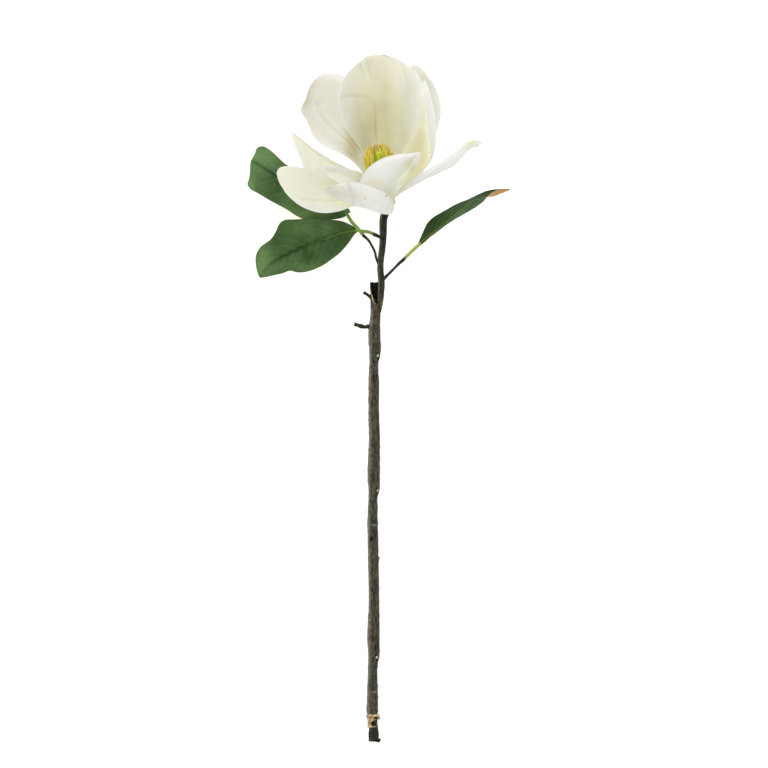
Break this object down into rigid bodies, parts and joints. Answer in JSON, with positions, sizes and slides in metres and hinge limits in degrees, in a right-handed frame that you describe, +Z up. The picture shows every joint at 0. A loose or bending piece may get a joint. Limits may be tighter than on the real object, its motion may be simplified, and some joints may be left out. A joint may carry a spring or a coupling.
{
  "type": "magnolia flower stem",
  "caption": "Cut woody stem with one large open white magnolia bloom, yellow stamens and glossy leaves at its top; lies on a table or goes in a vase.",
  "frame": {"origin": "on the table, under the middle of the part's bounding box", "axes": "+Z up off the table; +Y along the stem, from its cut end to the bloom; +X to the bloom's right, seen from above"},
  "size_m": [0.2607, 0.6925, 0.1075],
  "materials": {
    "petal": "soft satin, thick and waxy, cream towards the foot",
    "leaf": "glossy dark green above, rust brown felt below",
    "bark": "rough grey-brown bark with pale leaf scars",
    "inner_bark": "torn tan inner bark, fibrous",
    "stamen": "matt yellow with orange-brown tips",
    "carpel": "matt lime green",
    "receptacle": "matt pale green"
  },
  "bodies": {
    "root": {"petal_back_cup": "petal", "petal_right_inner": "petal", "petal_left_narrow": "petal", "petal_front_high": "petal", "petal_left_back": "petal", "petal_right_back": "petal", "petal_front_low": "petal", "petal_left_pointed": "petal", "petal_left_blunt": "petal", "petal_right_long": "petal", "leaf_upper": "leaf", "leaf_lower": "leaf", "leaf_right": "leaf", "stem": "bark", "bark_band": "inner_bark", "stamens": "stamen", "carpels": "carpel", "receptacle": "receptacle"}
  },
  "joints": []
}
